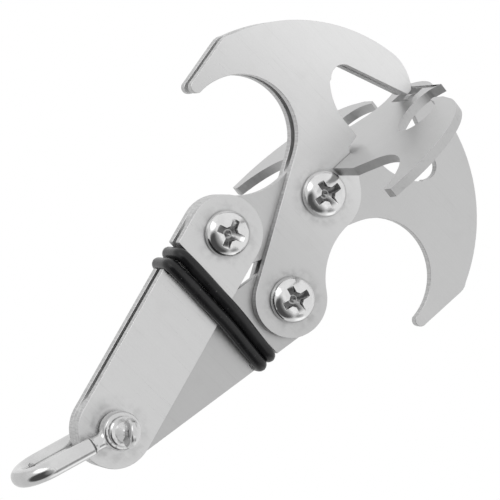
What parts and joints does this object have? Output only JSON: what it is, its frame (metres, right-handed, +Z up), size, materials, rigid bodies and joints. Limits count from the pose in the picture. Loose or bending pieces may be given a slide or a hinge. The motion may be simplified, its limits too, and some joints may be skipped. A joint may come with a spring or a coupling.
{
  "type": "folding grapnel anchor",
  "caption": "Folding stainless steel grapnel anchor: scissor-linked plate claws, a slotted cross plate, rubber rings round the links and a D shackle for the line.",
  "frame": {"origin": "middle of the foot: the lowest point of the cross plate, midway between the outer hooks, on the mid-plane of the plate stack", "axes": "+Z up to the shackle, +X towards the outer hook of claw A, -Y is the front where the screw heads are"},
  "size_m": [0.0936, 0.1082, 0.1493],
  "materials": {
    "satin_stainless": "satin, fine rolled grain, laser-cut edges",
    "polished_stainless": "polished",
    "screw_steel": "bright, lightly brushed",
    "nylon": "matte",
    "rubber": "satin black"
  },
  "bodies": {
    "shackle": {"shackle_bow": "polished_stainless", "shackle_pin": "polished_stainless"},
    "left_link": {"left_link_front": "satin_stainless", "left_link_rear": "satin_stainless", "left_screw": "screw_steel", "left_washer": "screw_steel", "left_nut": "screw_steel", "left_nut_insert": "nylon", "o_ring_upper": "rubber", "o_ring_lower": "rubber"},
    "right_link": {"right_link": "satin_stainless"},
    "claw_a": {"claw_a_front": "satin_stainless", "claw_a_rear": "satin_stainless", "centre_screw": "screw_steel", "centre_washer": "screw_steel", "centre_nut": "screw_steel", "centre_nut_insert": "nylon", "right_screw": "screw_steel", "right_washer": "screw_steel", "right_nut": "screw_steel", "right_nut_insert": "nylon"},
    "claw_b": {"claw_b": "satin_stainless"},
    "cross_plate": {"cross_plate": "satin_stainless"}
  },
  "joints": [
    {"name": "link_swing", "type": "hinge", "parent": "shackle", "child": "left_link", "pos_m": [0, 0, 0.12247], "axis": [0, 1, 0], "range_deg": [-100, 60]},
    {"name": "right_link_open", "type": "hinge", "parent": "left_link", "child": "right_link", "pos_m": [0, 0, 0.12247], "axis": [0, 1, 0], "range_deg": [0, 20], "deforming": ["o_ring_upper", "o_ring_lower"]},
    {"name": "claw_b_open", "type": "hinge", "parent": "left_link", "child": "claw_b", "pos_m": [0.01221, 0, 0.0669], "axis": [0, 1, 0], "range_deg": [0, 34]},
    {"name": "claw_a_open", "type": "hinge", "parent": "right_link", "child": "claw_a", "pos_m": [-0.01221, 0, 0.0669], "axis": [0, 1, 0], "range_deg": [-34, 0]},
    {"name": "cross_plate_follow", "type": "hinge", "parent": "left_link", "child": "cross_plate", "pos_m": [0, 0, 0.12247], "axis": [0, 1, 0], "range_deg": [0, 10.1]}
  ],
  "couplings": [
    {"joint": "claw_b_open", "follows": "right_link_open", "ratio": 1.695},
    {"joint": "claw_a_open", "follows": "right_link_open", "ratio": -1.695},
    {"joint": "cross_plate_follow", "follows": "right_link_open", "ratio": 0.5}
  ]
}
